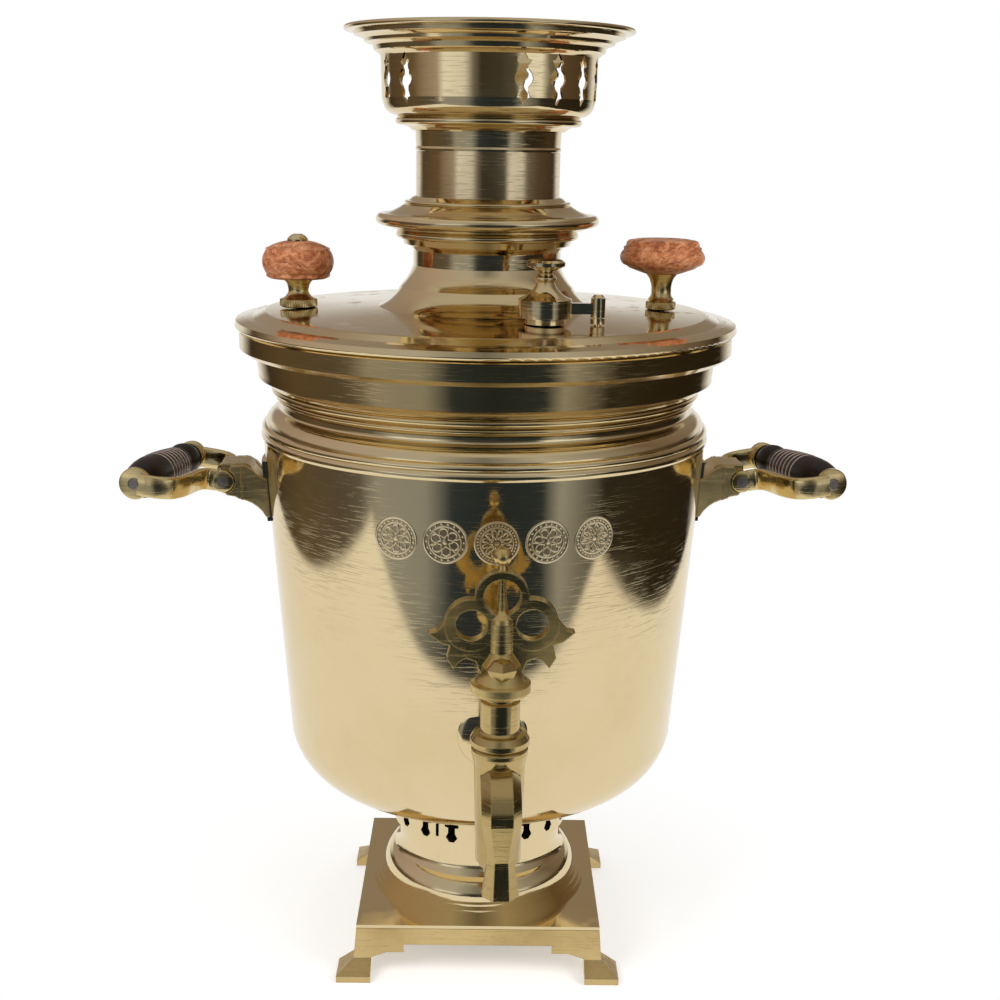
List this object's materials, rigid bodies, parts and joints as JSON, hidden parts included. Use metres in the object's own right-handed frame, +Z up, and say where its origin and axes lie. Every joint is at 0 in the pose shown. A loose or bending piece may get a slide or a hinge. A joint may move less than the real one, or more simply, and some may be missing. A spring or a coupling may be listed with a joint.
{
  "type": "charcoal samovar",
  "caption": "Brass charcoal samovar: footed water tank round a fire tube, lift-off lid and pierced teapot crown, turning tap, two swinging side handles.",
  "frame": {"origin": "on the floor, at the centre of the four feet, on the axis of the round body", "axes": "+Z up along the body's axis; -Y towards the tap; +X and -X towards the two handles"},
  "size_m": [0.3582, 0.3014, 0.4714],
  "materials": {
    "polished_brass": "polished sheet brass with fine scratches",
    "cast_brass": "polished casting",
    "tap_brass": "filed and polished casting",
    "key_brass": "polished openwork casting",
    "gilt_brass": "polished spun brass",
    "tube_brass": "brushed by the lid",
    "fire_iron": "sooted",
    "red_wood": "oiled, reddish burl",
    "dark_wood": "dark stained, waxed",
    "rivet_steel": "hammered"
  },
  "bodies": {
    "samovar": {"plinth_frame": "cast_brass", "plinth_sheet": "polished_brass", "foot_dome": "polished_brass", "neck_ring": "polished_brass", "collar_ring": "polished_brass", "ash_floor": "fire_iron", "grate": "fire_iron", "body_shell": "polished_brass", "mouth_ring": "gilt_brass", "fire_tube": "tube_brass", "tap_rose": "polished_brass", "tap_body": "tap_brass", "bracket_plate_left": "polished_brass", "bracket_left": "polished_brass", "hinge_pin_left": "rivet_steel", "bracket_plate_right": "polished_brass", "bracket_right": "polished_brass", "hinge_pin_right": "rivet_steel"},
    "lid": {"lid": "polished_brass", "knob_stem_left": "polished_brass", "knob_grip_left": "red_wood", "knob_nut_left": "polished_brass", "knob_stem_right": "polished_brass", "knob_grip_right": "red_wood", "vent_seat": "polished_brass", "vent_post": "polished_brass"},
    "vent": {"vent_cap": "polished_brass"},
    "crown": {"crown": "polished_brass"},
    "tap": {"tap_plug": "tap_brass", "tap_key": "key_brass", "tap_washer": "tap_brass", "tap_nut": "tap_brass"},
    "left_handle": {"arm_front_left": "polished_brass", "arm_rear_left": "polished_brass", "grip_left": "dark_wood", "ferrule_left": "polished_brass", "grip_rod_left": "rivet_steel"},
    "right_handle": {"arm_front_right": "polished_brass", "arm_rear_right": "polished_brass", "grip_right": "dark_wood", "ferrule_right": "polished_brass", "grip_rod_right": "rivet_steel"}
  },
  "joints": [
    {"name": "lid_lift", "type": "slide", "parent": "samovar", "child": "lid", "axis": [0, 0, 1], "range_m": [0, 0.12]},
    {"name": "crown_lift", "type": "slide", "parent": "lid", "child": "crown", "axis": [0, 0, 1], "range_m": [0, 0.15]},
    {"name": "vent_swing", "type": "hinge", "parent": "lid", "child": "vent", "pos_m": [0.0478, -0.0684, 0.345], "axis": [0, 0, 1], "range_deg": [0, 110]},
    {"name": "tap_turn", "type": "hinge", "parent": "samovar", "child": "tap", "pos_m": [0, -0.15, 0.14], "axis": [0, 0, 1], "continuous": true},
    {"name": "left_handle_fold", "type": "hinge", "parent": "samovar", "child": "left_handle", "pos_m": [-0.1326, 0, 0.2494], "axis": [0, 1, 0], "range_deg": [0, 70]},
    {"name": "right_handle_fold", "type": "hinge", "parent": "samovar", "child": "right_handle", "pos_m": [0.1326, 0, 0.2494], "axis": [0, -1, 0], "range_deg": [0, 70]}
  ]
}
